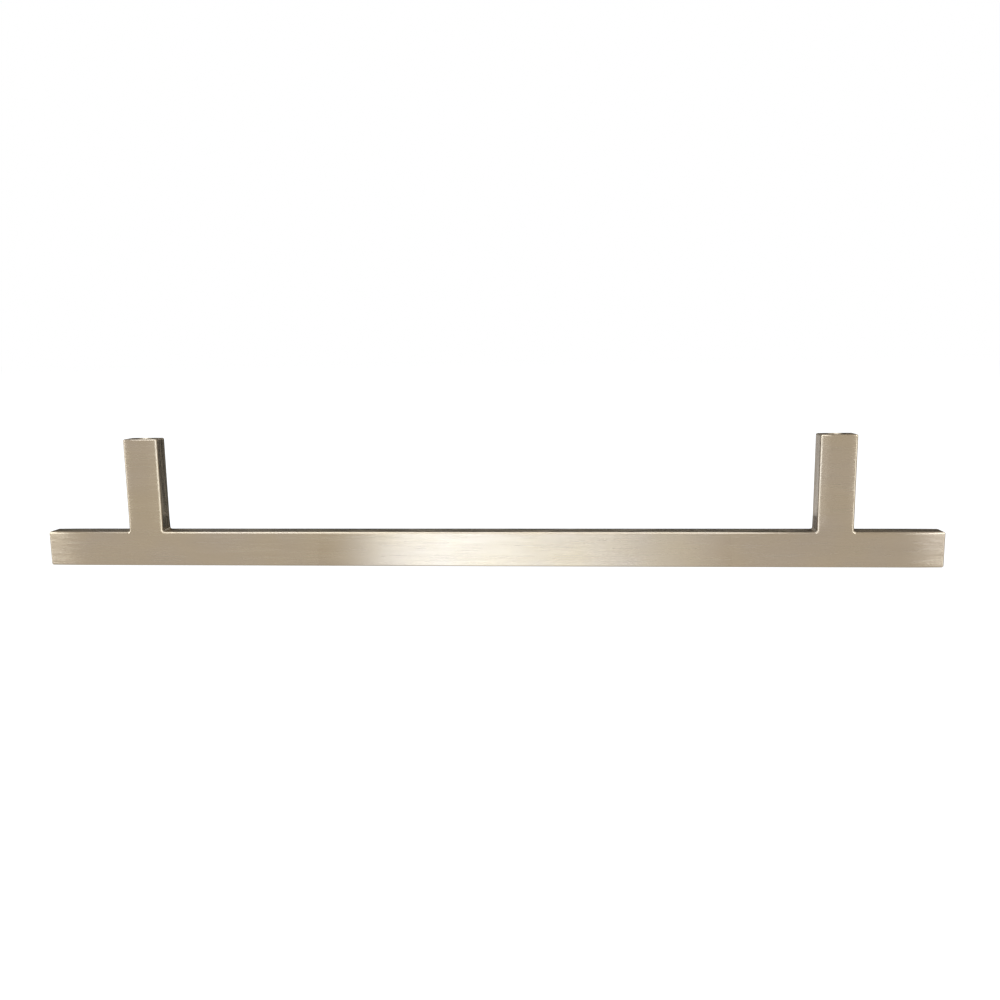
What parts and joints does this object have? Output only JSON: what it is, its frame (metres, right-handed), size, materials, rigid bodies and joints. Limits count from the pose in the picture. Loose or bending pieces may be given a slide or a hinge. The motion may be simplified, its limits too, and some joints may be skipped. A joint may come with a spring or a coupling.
{
  "type": "bar handle",
  "caption": "Slim straight bar handle with two square-edged posts flush with the bar, and a blind screw hole in each cut post end for fixing it through a door or drawer front.",
  "frame": {"origin": "on the floor under the middle of the bar, which stands on its outer face, at the centre of the base of the object's box", "axes": "+X along the bar, +Y from the near flush side to the far one, +Z from the bar's outer face up the posts to their cut ends, which lie against the door"},
  "size_m": [0.25, 0.006, 0.0362],
  "materials": {
    "brushed_nickel": "warm satin nickel, brushed along the bar"
  },
  "bodies": {
    "root": {"bar_handle": "brushed_nickel"}
  },
  "joints": []
}
